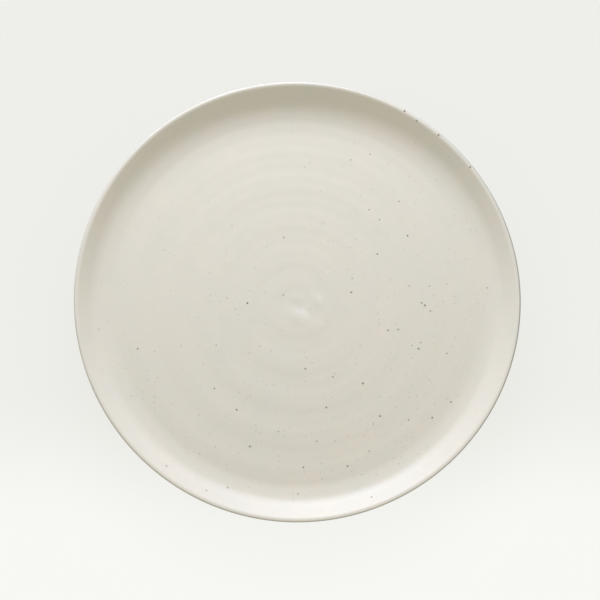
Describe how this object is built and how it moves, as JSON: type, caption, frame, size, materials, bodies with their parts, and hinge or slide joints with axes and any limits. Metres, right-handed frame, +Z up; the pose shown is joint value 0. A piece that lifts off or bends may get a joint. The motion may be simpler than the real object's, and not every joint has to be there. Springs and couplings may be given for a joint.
{
  "type": "dinner plate",
  "caption": "Round hand-thrown stoneware plate with a wide flat well, a low flared wall, a thin rounded lip and a turned foot ring, under a satin off-white glaze with iron specks.",
  "frame": {"origin": "on the table, at the middle of the foot ring", "axes": "+Z up, out of the well; +X along the long way across the slightly oval rim, to the right in the picture; +Y towards the top of the picture, which shows the plate standing on its edge"},
  "size_m": [0.2725, 0.2675, 0.0202],
  "materials": {
    "bare_stoneware": "matt, bare fired clay with fine iron specks",
    "speckled_glaze": "satin off-white glaze with dark iron specks",
    "base_glaze": "satin off-white glaze with dark iron specks, inside the foot ring"
  },
  "bodies": {
    "root": {"stoneware_body": "bare_stoneware", "glaze_coat": "speckled_glaze", "base_glaze": "base_glaze"}
  },
  "joints": []
}
